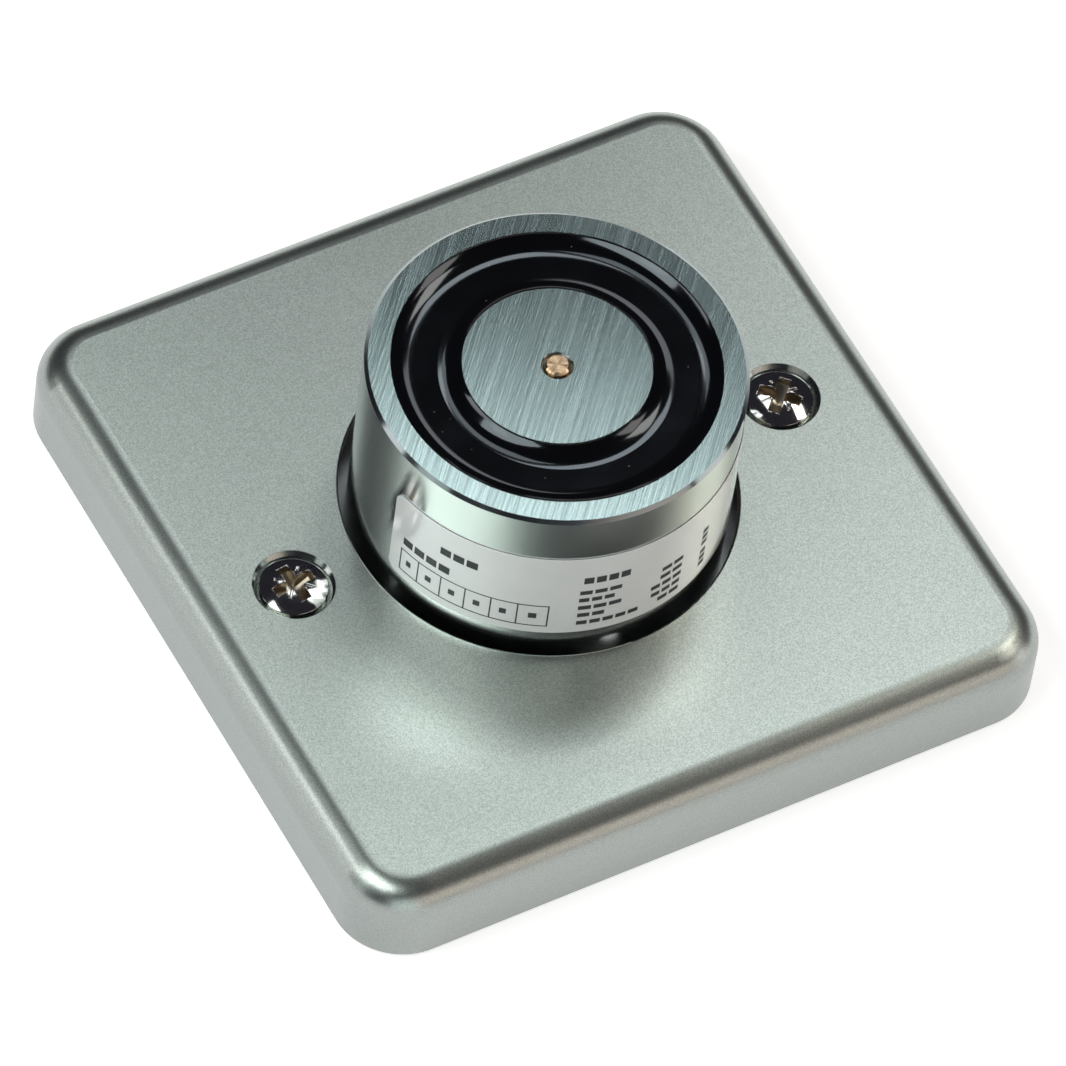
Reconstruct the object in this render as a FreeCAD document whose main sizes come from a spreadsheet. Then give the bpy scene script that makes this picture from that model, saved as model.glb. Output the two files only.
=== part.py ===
import FreeCAD, Part
import math
import os
from types import SimpleNamespace

import Sketcher

# Wall-mounted electromagnetic door holder. A pot magnet stands on a steel base plate
# and passes through a pressed cover. The wall is the plane z = 0, +Z points out of the
# wall along the magnet's axis and the two cover screws lie on the X axis.

# Driving dimensions, in millimetres and degrees
DIMENSIONS = {
    # cover plate
    "plate_side": 85.0,
    "plate_height": 10.0,
    "plate_sheet": 1.0,
    "plate_edge_radius": 3.8,
    "plate_corner_radius": 7.6,
    "plate_lift": 0.3,
    "plate_hole_gap": 1.1,
    "plate_hole_edge": 0.25,
    # dimples and screws of the cover
    "screw_pitch": 60.3,
    "screw_thread": 4.0,
    "screw_length": 8.0,
    "screw_point": 0.5,
    "screw_head": 7.5,
    "screw_head_rim": 0.25,
    "screw_dome_height": 1.0,
    "screw_hole": 4.4,
    "screw_seat_gap": 0.05,
    "dimple_diameter": 9.15,
    "dimple_land": 0.7,
    "cross_span": 4.4,
    "cross_width": 1.15,
    "cross_depth": 1.8,
    "thread_gap": 0.05,
    # base plate and posts
    "base_sheet": 2.0,
    "base_gap": 0.5,
    "post_diameter": 8.0,
    "post_rivet": 5.5,
    "wall_slot_pitch": 60.3,
    "wall_slot_width": 4.5,
    "wall_slot_length": 8.0,
    "seat_access": 6.8,
    # magnet
    "magnet_diameter": 41.6,
    "magnet_height": 31.1,
    "magnet_wall": 2.8,
    "magnet_floor": 4.0,
    "magnet_bevel": 0.4,
    "core_diameter": 20.6,
    "fixing_thread": 3.0,
    "fixing_head": 5.5,
    "fixing_hole": 3.2,
    "fixing_circle": 15.0,
    "fixing_length": 8.0,
    "fixing_spare": 1.0,
    "fixing_cross_span": 3.0,
    "fixing_cross_width": 0.8,
    "fixing_cross_depth": 1.0,
    # coil
    "bobbin_flange": 1.0,
    "bobbin_tube": 0.8,
    "bobbin_core_gap": 0.2,
    "bobbin_wall_gap": 0.4,
    "tape_inset": 0.6,
    "tape_thickness": 0.3,
    "resin_below_face": 0.35,
    "resin_hollow": 0.95,
    "resin_curve": 2.5,
    "resin_thickness": 3.3,
    # ejector
    "pin_diameter": 2.8,
    "pin_running_gap": 0.05,
    "pin_proud": 0.3,
    "pin_bevel": 0.25,
    "pin_guide": 12.0,
    "pin_collar": 4.5,
    "pin_collar_length": 1.5,
    "pin_stop_gap": 0.05,
    "pin_countersink": 0.35,
    "chamber_diameter": 5.0,
    "spring_wire": 0.5,
    "spring_diameter": 4.3,
    "spring_turns": 8.0,
    "spring_end_gap": 0.05,
    "seat_thread": 6.0,
    "seat_length": 5.0,
    "seat_below": 0.5,
    "seat_socket": 3.0,
    "seat_socket_depth": 2.5,
    # label
    "label_height": 13.3,
    "label_above_plate": 2.8,
    "label_thickness": 0.12,
    "label_adhesive": 0.05,
    "label_start_angle": 189.5,
    "label_span_angle": 180.0,
    "label_corner": 1.3,
    # leads and terminal
    "terminal_angle": 45.0,
    "lead_diameter": 1.2,
    "lead_above_flange": 0.7,
    "lead_end_gap": 0.2,
    "lead_straight": 1.0,
    "lead_bend_share": 0.565,
    "lead_in_tube": 4.5,
    "sleeve_diameter": 2.4,
    "sleeve_wall": 0.55,
    "sleeve_outside": 0.8,
    "terminal_pitch": 7.0,
    "terminal_length": 15.0,
    "terminal_width": 14.5,
    "terminal_height": 6.6,
    "terminal_edge": 0.6,
    "terminal_well": 2.8,
    "tube_height": 2.9,
    "tube_diameter": 3.8,
    "tube_bore": 2.2,
    "tube_gap": 0.1,
    "tube_recess": 0.8,
    "clamp_diameter": 2.3,
    "clamp_spacing": 7.5,
    "clamp_below": 0.8,
    "clamp_slot": 0.5,
    "holder_thread": 2.0,
    "holder_head": 3.6,
    "holder_head_height": 1.4,
    "holder_above_wall": 0.2,
    "diode_diameter": 2.6,
    "diode_length": 5.0,
    "diode_inset": 8.6,
    "diode_leg": 0.7,
    "diode_leg_bend": 1.2,
    # cable entry
    "cable_angle": -45.0,
    "cable_inset": 18.69,
    "cable_hole": 12.0,
    "cable_bore": 7.0,
    "bush_flange": 14.5,
    "bush_flange_height": 1.5,
}


class Size:
    """A size that carries its value and the sheet formula that gives it."""

    def __init__(self, value, formula):
        self.value = value
        self.formula = formula

    def joined(self, sign, other, value):
        """The size for `self sign other`, whose value is known."""
        return Size(value, f"({self.formula} {sign} {as_size(other).formula})")

    def __add__(self, other):
        return self.joined("+", other, self.value + as_size(other).value)

    def __sub__(self, other):
        return self.joined("-", other, self.value - as_size(other).value)

    def __mul__(self, other):
        return self.joined("*", other, self.value * as_size(other).value)

    def __truediv__(self, other):
        return self.joined("/", other, self.value / as_size(other).value)

    def __radd__(self, other):
        return as_size(other) + self

    def __rmul__(self, other):
        return as_size(other) * self

    def __neg__(self):
        return self * -1


def as_size(number):
    """A plain number as a size, so that both can be mixed in a formula."""
    if isinstance(number, Size):
        return number
    return Size(number, f"({number!r})")


def bind(target, path, size):
    """Ties a property of a document object to the sheet."""
    target.setExpression(path, as_size(size).formula)


doc = FreeCAD.newDocument("door_holder")
sheet = doc.addObject("Spreadsheet::Sheet", "sizes")
for row, (alias, number) in enumerate(DIMENSIONS.items(), start=1):
    sheet.set(f"A{row}", alias)
    sheet.set(f"B{row}", str(number))
    sheet.setAlias(f"B{row}", alias)
doc.recompute()
dim = SimpleNamespace(**{alias: Size(number, f"sizes.{alias}") for alias, number in DIMENSIONS.items()})


# Sketch helpers

def place_along(sketch, geometry, end, kind, number):
    """Holds one coordinate of a line's end or an arc's centre."""
    if as_size(number).value == 0:
        axis = -2 if kind == "DistanceX" else -1
        sketch.addConstraint(Sketcher.Constraint("PointOnObject", geometry, end, axis))
        return
    size = as_size(number)
    index = sketch.addConstraint(Sketcher.Constraint(kind, -1, 1, geometry, end, size.value))
    bind(sketch, f"Constraints[{index}]", size)


def place_vertex(sketch, geometry, end, corner):
    """Holds one end of a line or an arc, or a circle's centre, at a corner."""
    place_along(sketch, geometry, end, "DistanceX", corner[0])
    place_along(sketch, geometry, end, "DistanceY", corner[1])


def at(corner):
    """A corner's place at the present sizes."""
    return FreeCAD.Vector(as_size(corner[0]).value, as_size(corner[1]).value, 0)


def draw_line_or_arc(sketch, first, last, bend):
    """Draws one stretch. Returns it with the ends that meet its first and last corner."""
    a, b = at(first), at(last)
    if bend is None:
        return sketch.addGeometry(Part.LineSegment(a, b), False), 1, 2
    corner, side = bend
    centre = at(corner)
    ends = [math.atan2(p.y - centre.y, p.x - centre.x) for p in (a, b)]
    if side < 0:
        ends.reverse()
    circle = Part.Circle(centre, FreeCAD.Vector(0, 0, 1), (a - centre).Length)
    arc = sketch.addGeometry(Part.ArcOfCircle(circle, ends[0], ends[1]), False)
    flat_chord = abs(b.x - a.x) >= abs(b.y - a.y)
    if flat_chord:
        place_along(sketch, arc, 3, "DistanceY", corner[1])
    else:
        place_along(sketch, arc, 3, "DistanceX", corner[0])
    return (arc, 1, 2) if side > 0 else (arc, 2, 1)


def draw(sketch, corners, bends=None, closed=True):
    """Draws lines through the corners. A bend {i: (centre, side)} makes the stretch after
    corner i an arc, with its centre on the left (+1) or the right (-1)."""
    bends = bends or {}
    count = len(corners) if closed else len(corners) - 1
    runs = [draw_line_or_arc(sketch, corners[i], corners[(i + 1) % len(corners)], bends.get(i))
            for i in range(count)]
    for i, (geometry, start, end) in enumerate(runs):
        place_vertex(sketch, geometry, start, corners[i])
        if closed or i + 1 < count:
            following, start_of_next, _ = runs[(i + 1) % count]
            sketch.addConstraint(
                Sketcher.Constraint("Coincident", geometry, end, following, start_of_next))
    if not closed:
        geometry, _, end = runs[-1]
        place_vertex(sketch, geometry, end, corners[-1])


def draw_circle(sketch, x, y, diameter):
    """Draws a circle about a given centre."""
    radius = as_size(diameter) / 2
    circle = sketch.addGeometry(Part.Circle(at((x, y)), FreeCAD.Vector(0, 0, 1), radius.value), False)
    place_vertex(sketch, circle, 3, (x, y))
    index = sketch.addConstraint(Sketcher.Constraint("Radius", circle, radius.value))
    bind(sketch, f"Constraints[{index}]", radius)


def draw_rounded_square(sketch, half, radius):
    """Draws a square about the origin with rounded corners."""
    flat = half - radius
    corners = [(flat, -half), (half, -flat), (half, flat), (flat, half),
               (-flat, half), (-half, flat), (-half, -flat), (-flat, -half)]
    centres = [(flat, -flat), (flat, flat), (-flat, flat), (-flat, -flat)]
    draw(sketch, corners, {2 * i: (centre, 1) for i, centre in enumerate(centres)})


def draw_slot(sketch, x, y, width, length):
    """Draws a round-ended slot that runs along the sketch's Y axis."""
    radius = width / 2
    reach = length / 2 - radius
    draw(sketch, [(x + radius, y - reach), (x + radius, y + reach), (x - radius, y + reach),
                  (x - radius, y - reach)], {1: ((x, y + reach), 1), 3: ((x, y - reach), 1)})


def draw_box(sketch, low, high):
    """Draws a rectangle between two corners."""
    draw(sketch, [low, (high[0], low[1]), high, (low[0], high[1])])


class Piece:
    """One sub-part: a body whose features follow the sheet."""

    made = []

    def __init__(self, label, turn=None):
        self.body = doc.addObject("PartDesign::Body", label)
        self.body.Label = label
        self.planes = {feature.Role: feature for feature in self.body.Origin.OriginFeatures}
        if turn is not None:
            self.body.Placement = FreeCAD.Placement(
                FreeCAD.Vector(), FreeCAD.Rotation(FreeCAD.Vector(0, 0, 1), turn.value))
            bind(self.body, "Placement.Rotation.Angle", turn)
        Piece.made.append(self)

    def sketch(self, plane, along=0, off=0, turn=None):
        """A sketch on an origin plane, moved along its own X axis, off the plane and turned."""
        sketch = self.body.newObject("Sketcher::SketchObject", f"{self.body.Name}_sketch")
        sketch.AttachmentSupport = (self.planes[plane], [""])
        sketch.MapMode = "FlatFace"
        spin = FreeCAD.Rotation(FreeCAD.Vector(0, 0, 1), as_size(turn or 0).value)
        place = FreeCAD.Vector(as_size(along).value, 0, as_size(off).value)
        sketch.AttachmentOffset = FreeCAD.Placement(place, spin)
        bind(sketch, "AttachmentOffset.Base.x", along)
        bind(sketch, "AttachmentOffset.Base.z", off)
        if turn is not None:
            bind(sketch, "AttachmentOffset.Rotation.Angle", turn)
        return sketch

    def feature(self, kind, name):
        """A new feature at the end of the body."""
        return self.body.newObject(f"PartDesign::{kind}", f"{self.body.Name}_{name}")

    def extrude(self, kind, sketch, length, reverse=False):
        """A pad or a pocket. A pad follows the sketch's normal, a pocket goes against it."""
        feature = self.feature(kind, kind.lower())
        feature.Profile = sketch
        feature.Reversed = reverse
        bind(feature, "Length", length)
        self.settle(feature)
        return feature

    def turn(self, kind, corners, bends=None, along=0, angle=360):
        """A revolution or a groove of a (radius, height) profile about an upright axis."""
        sketch = self.sketch("XZ_Plane", along)
        draw(sketch, corners, bends)
        feature = self.feature(kind, kind.lower())
        feature.Profile = sketch
        feature.ReferenceAxis = (sketch, ["V_Axis"])
        bind(feature, "Angle", angle)
        self.settle(feature)
        return feature

    def pipe(self, spine, profile):
        """A round section carried along a path."""
        feature = self.feature("AdditivePipe", "pipe")
        feature.Profile = profile
        feature.Spine = (spine, [])
        self.settle(feature)
        return feature

    def mirror(self, originals, plane):
        """The features again on the other side of an origin plane."""
        feature = self.feature("Mirrored", "mirrored")
        feature.Originals = originals
        feature.MirrorPlane = (self.planes[plane], [""])
        self.settle(feature)

    def around(self, originals, count):
        """The features repeated about the Z axis."""
        feature = self.feature("PolarPattern", "pattern")
        feature.Originals = originals
        feature.Axis = (self.planes["Z_Axis"], [""])
        feature.Angle = 360
        feature.Occurrences = count
        self.settle(feature)

    def edge(self, kind, size, chosen):
        """A fillet or a chamfer on the edges that the test chooses."""
        base = self.body.Tip
        names = [f"Edge{i}" for i, edge in enumerate(base.Shape.Edges, start=1) if chosen(edge)]
        feature = self.feature(kind, kind.lower())
        feature.Base = (base, names)
        bind(feature, "Radius" if kind == "Fillet" else "Size", size)
        self.settle(feature)

    def settle(self, feature):
        """Makes the feature the body's last one and works it out."""
        self.body.Tip = feature
        doc.recompute()


def at_height(size):
    """A test for edges that lie at one height."""
    return lambda edge: max(abs(vertex.Z - size.value) for vertex in edge.Vertexes) < 1e-4


def round_at(size, diameter):
    """A test for circular edges of one diameter at one height."""
    def chosen(edge):
        return (at_height(size)(edge) and isinstance(edge.Curve, Part.Circle)
                and abs(edge.Curve.Radius - diameter.value / 2) < 1e-4)
    return chosen


def cut_cross(piece, along, off, span, width, depth, upward=False, turn=None):
    """Cuts a cross recess into a screw head. Returns the pocket."""
    wing, flank = span / 2, width / 2
    quarter = [(wing, -flank), (wing, flank), (flank, flank)]
    corners = []
    for _ in range(4):
        corners += quarter
        quarter = [(-y, x) for x, y in quarter]
    sketch = piece.sketch("XY_Plane", along, off, turn)
    draw(sketch, corners)
    return piece.extrude("Pocket", sketch, depth, reverse=upward)


# Heights that several pieces share
plate_bottom = dim.plate_lift
plate_top = dim.plate_lift + dim.plate_height
magnet_bottom = dim.base_sheet
pole_height = magnet_bottom + dim.magnet_height
groove_floor = magnet_bottom + dim.magnet_floor
resin_shore = pole_height - dim.resin_below_face
resin_pool = resin_shore - dim.resin_hollow
bobbin_top = resin_pool - dim.resin_thickness
chamber_roof = pole_height - dim.pin_guide
seat_top = magnet_bottom + dim.seat_below + dim.seat_length
collar_bottom = chamber_roof - dim.pin_stop_gap - dim.pin_collar_length
lead_height = groove_floor + dim.bobbin_flange + dim.lead_above_flange
tube_axis = dim.base_sheet + dim.tube_height

# Radii and reaches that several pieces share
SLANT = math.sqrt(2)
screw_place = dim.screw_pitch / 2
dimple_depth = (dim.dimple_diameter - dim.screw_hole) / 2
dimple_foot = plate_top - dimple_depth - dim.dimple_land
magnet_radius = dim.magnet_diameter / 2
groove_radius = magnet_radius - dim.magnet_wall
core_radius = dim.core_diameter / 2
bobbin_radius = groove_radius - dim.bobbin_wall_gap
bobbin_bore = core_radius + dim.bobbin_core_gap
winding_bore = bobbin_bore + dim.bobbin_tube
tape_radius = bobbin_radius - dim.tape_inset
winding_radius = tape_radius - dim.tape_thickness
pole_place = dim.terminal_pitch / 2
bend_start = magnet_radius + dim.sleeve_outside + dim.lead_straight
inner_corner = (dim.plate_side / 2 - dim.plate_sheet) * SLANT
diode_place = inner_corner - dim.diode_inset
lead_and_diode = diode_place - bend_start - dim.lead_straight - dim.terminal_length
lead_bend = lead_and_diode * dim.lead_bend_share
terminal_front = bend_start + lead_bend + dim.lead_straight
terminal_middle = terminal_front + dim.terminal_length / 2
terminal_back = terminal_front + dim.terminal_length
terminal_top = dim.base_sheet + dim.terminal_height
cable_place = inner_corner - dim.cable_inset


def make_cover_plate():
    """Pressed cover: a shallow tray with a rolled edge, the magnet's hole and two dimples."""
    piece = Piece("cover_plate")
    outline = piece.sketch("XY_Plane", off=plate_bottom)
    draw_rounded_square(outline, dim.plate_side / 2, dim.plate_corner_radius)
    piece.extrude("Pad", outline, dim.plate_height)
    inside = piece.sketch("XY_Plane", off=plate_bottom)
    draw_rounded_square(inside, dim.plate_side / 2 - dim.plate_sheet,
                        dim.plate_corner_radius - dim.plate_sheet)
    piece.extrude("Pocket", inside, dim.plate_height - dim.plate_sheet, reverse=True)
    piece.edge("Fillet", dim.plate_edge_radius - dim.plate_sheet,
               at_height(plate_top - dim.plate_sheet))
    piece.edge("Fillet", dim.plate_edge_radius, at_height(plate_top))
    hole = piece.sketch("XY_Plane", off=plate_top)
    opening = dim.magnet_diameter + 2 * dim.plate_hole_gap
    draw_circle(hole, 0, 0, opening)
    piece.extrude("Pocket", hole, 2 * dim.plate_sheet)
    piece.edge("Fillet", dim.plate_hole_edge, round_at(plate_top, opening))
    mouth = dim.dimple_diameter / 2
    throat = dim.screw_hole / 2
    underside = mouth + dim.plate_sheet * (SLANT - 1)
    land = underside - (plate_top - dim.plate_sheet - dimple_foot)
    pressed = piece.turn("Revolution", [
        (throat, dimple_foot), (land, dimple_foot), (underside, plate_top - dim.plate_sheet),
        (underside, plate_top), (throat, plate_top)], along=screw_place)
    sunk = piece.turn("Groove", [
        (0, dimple_foot), (throat, dimple_foot), (throat, plate_top - dimple_depth),
        (mouth, plate_top), (0, plate_top)], along=screw_place)
    piece.mirror([pressed, sunk], "YZ_Plane")


def make_cover_screws():
    """Raised countersunk screws, seated in the cover's dimples."""
    piece = Piece("cover_screws")
    head = dim.screw_head / 2
    shank = dim.screw_thread / 2
    rim = plate_top - (dim.dimple_diameter - dim.screw_head) / 2 + dim.screw_seat_gap
    brow = rim + dim.screw_head_rim
    crown = brow + dim.screw_dome_height
    tip = brow - dim.screw_length
    dome = (head * head + dim.screw_dome_height * dim.screw_dome_height) / (2 * dim.screw_dome_height)
    turned = piece.turn("Revolution", [
        (0, tip), (shank - dim.screw_point, tip), (shank, tip + dim.screw_point),
        (shank, rim - (head - shank)), (head, rim), (head, brow), (0, crown)],
        {5: ((0, crown - dome), 1)}, along=screw_place)
    cross = cut_cross(piece, screw_place, crown, dim.cross_span, dim.cross_width, dim.cross_depth)
    piece.mirror([turned, cross], "YZ_Plane")


def make_base_plate():
    """Flat steel plate that carries the magnet, the posts, the terminal and the cable bush."""
    piece = Piece("base_plate")
    outline = piece.sketch("XY_Plane")
    inset = dim.plate_sheet + dim.base_gap
    draw_rounded_square(outline, dim.plate_side / 2 - inset, dim.plate_corner_radius - inset)
    piece.extrude("Pad", outline, dim.base_sheet)
    plain = piece.sketch("XY_Plane", off=dim.base_sheet)
    draw_circle(plain, 0, 0, dim.seat_access)
    for side in (1, -1):
        draw_circle(plain, side * screw_place, 0, dim.post_rivet)
        draw_slot(plain, as_size(0), side * dim.wall_slot_pitch / 2,
                  dim.wall_slot_width, dim.wall_slot_length)
    piece.extrude("Pocket", plain, dim.base_sheet)
    turned = piece.sketch("XY_Plane", off=dim.base_sheet, turn=dim.terminal_angle)
    draw_circle(turned, terminal_middle, 0, dim.holder_thread + 2 * dim.thread_gap)
    for step in range(3):
        angle = 2 * math.pi * step / 3
        reach = dim.fixing_circle / 2
        draw_circle(turned, reach * math.cos(angle), reach * math.sin(angle) if step else 0,
                    dim.fixing_hole)
    piece.extrude("Pocket", turned, dim.base_sheet)
    piece.edge("Chamfer", (dim.fixing_head - dim.fixing_hole) / 2,
               round_at(as_size(0), dim.fixing_hole))
    entry = piece.sketch("XY_Plane", off=dim.base_sheet, turn=dim.cable_angle)
    draw_circle(entry, cable_place, 0, dim.cable_hole)
    piece.extrude("Pocket", entry, dim.base_sheet)


def make_cover_posts():
    """Threaded posts, riveted into the base plate, that hold the cover by its dimples."""
    piece = Piece("cover_posts")
    bore = dim.screw_thread / 2 + dim.thread_gap
    post = dim.post_diameter / 2
    rivet = dim.post_rivet / 2
    turned = piece.turn("Revolution", [
        (bore, as_size(0)), (rivet, as_size(0)), (rivet, dim.base_sheet), (post, dim.base_sheet),
        (post, dimple_foot), (bore, dimple_foot)], along=screw_place)
    piece.mirror([turned], "YZ_Plane")


def make_magnet_pot():
    """Turned pot and core in one piece, with the ejector's stepped bore down its middle."""
    piece = Piece("magnet_pot", turn=dim.terminal_angle)
    guide = dim.pin_diameter / 2 + dim.pin_running_gap
    chamber = dim.chamber_diameter / 2
    thread = dim.seat_thread / 2
    bevel = dim.magnet_bevel
    piece.turn("Revolution", [
        (thread, magnet_bottom), (magnet_radius - bevel, magnet_bottom),
        (magnet_radius, magnet_bottom + bevel), (magnet_radius, pole_height - bevel),
        (magnet_radius - bevel, pole_height), (groove_radius, pole_height),
        (groove_radius, groove_floor), (core_radius, groove_floor), (core_radius, pole_height),
        (guide + dim.pin_countersink, pole_height), (guide, pole_height - dim.pin_countersink),
        (guide, chamber_roof), (chamber, chamber_roof), (chamber, seat_top), (thread, seat_top)])
    tapped = piece.sketch("XY_Plane", off=magnet_bottom)
    for step in range(3):
        angle = 2 * math.pi * step / 3
        reach = dim.fixing_circle / 2
        draw_circle(tapped, reach * math.cos(angle), reach * math.sin(angle) if step else 0,
                    dim.fixing_thread + 2 * dim.thread_gap)
    depth = dim.fixing_length - dim.base_sheet + dim.fixing_spare
    piece.extrude("Pocket", tapped, depth, reverse=True)
    drilled = piece.sketch("YZ_Plane", off=magnet_radius)
    for side in (1, -1):
        draw_circle(drilled, side * pole_place, lead_height, dim.sleeve_diameter)
    piece.extrude("Pocket", drilled, dim.magnet_wall + dim.bobbin_wall_gap)


def make_magnet_screws():
    """Countersunk screws that hold the pot's core to the base plate."""
    piece = Piece("magnet_screws", turn=dim.terminal_angle)
    head = dim.fixing_head / 2
    shank = dim.fixing_thread / 2
    place = dim.fixing_circle / 2
    flat = dim.screw_seat_gap
    brim = head - 2 * dim.screw_seat_gap
    turned = piece.turn("Revolution", [
        (0, flat), (brim, flat), (shank, flat + brim - shank), (shank, dim.fixing_length),
        (0, dim.fixing_length)], along=place)
    cross = cut_cross(piece, place, 0, dim.fixing_cross_span, dim.fixing_cross_width,
                      dim.fixing_cross_depth, upward=True)
    piece.around([turned, cross], 3)


def make_coil_bobbin():
    """Moulded spool that slips over the core."""
    piece = Piece("coil_bobbin")
    low = groove_floor + dim.bobbin_flange
    high = bobbin_top - dim.bobbin_flange
    piece.turn("Revolution", [
        (bobbin_bore, groove_floor), (bobbin_radius, groove_floor), (bobbin_radius, low),
        (winding_bore, low), (winding_bore, high), (bobbin_radius, high),
        (bobbin_radius, bobbin_top), (bobbin_bore, bobbin_top)])


def make_ring(label, inner, outer):
    """A plain ring between the spool's flanges."""
    piece = Piece(label)
    low = groove_floor + dim.bobbin_flange
    high = bobbin_top - dim.bobbin_flange
    piece.turn("Revolution", [(inner, low), (outer, low), (outer, high), (inner, high)])


def make_potting_ring():
    """Cast resin over the spool. It climbs both walls, so its surface is hollow."""
    piece = Piece("potting_ring")
    curve = ((dim.resin_curve * dim.resin_curve + dim.resin_hollow * dim.resin_hollow)
             / (2 * dim.resin_hollow))
    piece.turn("Revolution", [
        (core_radius, bobbin_top), (groove_radius, bobbin_top), (groove_radius, resin_shore),
        (groove_radius - dim.resin_curve, resin_pool),
        (core_radius + dim.resin_curve, resin_pool), (core_radius, resin_shore)],
        {2: ((groove_radius - dim.resin_curve, resin_pool + curve), -1),
         4: ((core_radius + dim.resin_curve, resin_pool + curve), -1)})


def make_ejector_pin():
    """Brass pin that pushes the door's armature off. Its collar stops it from coming out."""
    piece = Piece("ejector_pin")
    pin = dim.pin_diameter / 2
    collar = dim.pin_collar / 2
    tip = pole_height + dim.pin_proud
    stop = chamber_roof - dim.pin_stop_gap
    piece.turn("Revolution", [
        (0, collar_bottom), (collar, collar_bottom), (collar, stop), (pin, stop),
        (pin, tip - dim.pin_bevel), (pin - dim.pin_bevel, tip), (0, tip)])


def make_ejector_spring():
    """Compression spring between the seat screw and the pin's collar."""
    piece = Piece("ejector_spring")
    start = seat_top + dim.spring_end_gap + dim.spring_wire / 2
    rise = collar_bottom - dim.spring_end_gap - dim.spring_wire / 2 - start
    section = piece.sketch("XZ_Plane")
    draw_circle(section, (dim.spring_diameter - dim.spring_wire) / 2, start, dim.spring_wire)
    coil = piece.feature("AdditiveHelix", "coil")
    coil.Profile = section
    coil.ReferenceAxis = (section, ["V_Axis"])
    coil.Mode = "pitch-height-angle"
    bind(coil, "Pitch", rise / dim.spring_turns)
    bind(coil, "Height", rise)
    piece.settle(coil)


def make_spring_seat_screw():
    """Socket screw that closes the spring's chamber from the back."""
    piece = Piece("spring_seat_screw")
    radius = dim.seat_thread / 2 - dim.thread_gap
    bottom = magnet_bottom + dim.seat_below
    piece.turn("Revolution", [(0, bottom), (radius, bottom), (radius, seat_top), (0, seat_top)])
    socket = piece.sketch("XY_Plane", off=bottom)
    flat = dim.seat_socket / 2
    point = dim.seat_socket / math.sqrt(3)
    draw(socket, [(point, 0), (point / 2, flat), (-point / 2, flat),
                  (-point, 0), (-point / 2, -flat), (point / 2, -flat)])
    piece.extrude("Pocket", socket, dim.seat_socket_depth, reverse=True)


def make_rating_label():
    """Plain label that wraps round part of the pot's side."""
    piece = Piece("rating_label", turn=dim.label_start_angle)
    low = plate_top + dim.label_above_plate
    high = low + dim.label_height
    inner = magnet_radius + dim.label_adhesive
    outer = inner + dim.label_thickness
    piece.turn("Revolution", [(inner, low), (outer, low), (outer, high), (inner, high)],
               angle=dim.label_span_angle)
    piece.edge("Fillet", dim.label_corner,
               lambda edge: abs(edge.Length - dim.label_thickness.value) < 1e-4)


def make_lead_sleeves():
    """Insulating sleeves that line the two holes in the pot's wall."""
    piece = Piece("lead_sleeves", turn=dim.terminal_angle)
    end = piece.sketch("YZ_Plane", off=groove_radius)
    bore = dim.sleeve_diameter - 2 * dim.sleeve_wall
    for side in (1, -1):
        draw_circle(end, side * pole_place, lead_height, dim.sleeve_diameter)
        draw_circle(end, side * pole_place, lead_height, bore)
    piece.extrude("Pad", end, dim.magnet_wall + dim.sleeve_outside)


def make_coil_lead(label, side):
    """One lead: out of the pot, down in an easy double bend and into its clamping tube."""
    piece = Piece(label, turn=dim.terminal_angle)
    start = tape_radius + dim.lead_end_gap
    drop = lead_height - tube_axis
    middle = (bend_start + lead_bend / 2, lead_height - drop / 2)
    low = bend_start + lead_bend
    end = terminal_front + dim.tube_recess + dim.lead_in_tube
    bend = (lead_bend * lead_bend + drop * drop) / (4 * drop)
    path = piece.sketch("XZ_Plane", off=-side * pole_place)
    draw(path, [(start, lead_height), (bend_start, lead_height), middle, (low, tube_axis),
                (end, tube_axis)], {1: ((bend_start, lead_height - bend), -1), 2: ((low, tube_axis + bend), 1)},
         closed=False)
    section = piece.sketch("YZ_Plane", off=start)
    draw_circle(section, side * pole_place, lead_height, dim.lead_diameter)
    piece.pipe(path, section)


def make_terminal_housing():
    """Low two-pole terminal with a well over each clamping screw."""
    piece = Piece("terminal_housing", turn=dim.terminal_angle)
    outline = piece.sketch("XY_Plane", off=dim.base_sheet)
    width = dim.terminal_width / 2
    draw_box(outline, (terminal_front, -width), (terminal_back, width))
    piece.extrude("Pad", outline, dim.terminal_height)
    piece.edge("Fillet", dim.terminal_edge, at_height(terminal_top))
    tunnels = piece.sketch("YZ_Plane", off=terminal_back)
    for side in (1, -1):
        draw_circle(tunnels, side * pole_place, tube_axis, dim.tube_diameter + 2 * dim.tube_gap)
    piece.extrude("Pocket", tunnels, dim.terminal_length)
    wells = piece.sketch("XY_Plane", off=terminal_top)
    for side in (1, -1):
        for end in (1, -1):
            draw_circle(wells, terminal_middle + end * dim.clamp_spacing / 2, side * pole_place,
                        dim.terminal_well)
    piece.extrude("Pocket", wells, dim.terminal_height - dim.tube_height)
    seat = piece.sketch("XY_Plane", off=terminal_top)
    draw_circle(seat, terminal_middle, 0, dim.holder_head + 2 * dim.tube_gap)
    piece.extrude("Pocket", seat, dim.holder_head_height + dim.clamp_below)
    through = piece.sketch("XY_Plane", off=terminal_top)
    draw_circle(through, terminal_middle, 0, dim.holder_thread + 2 * dim.tube_gap)
    piece.extrude("Pocket", through, dim.terminal_height)


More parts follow.
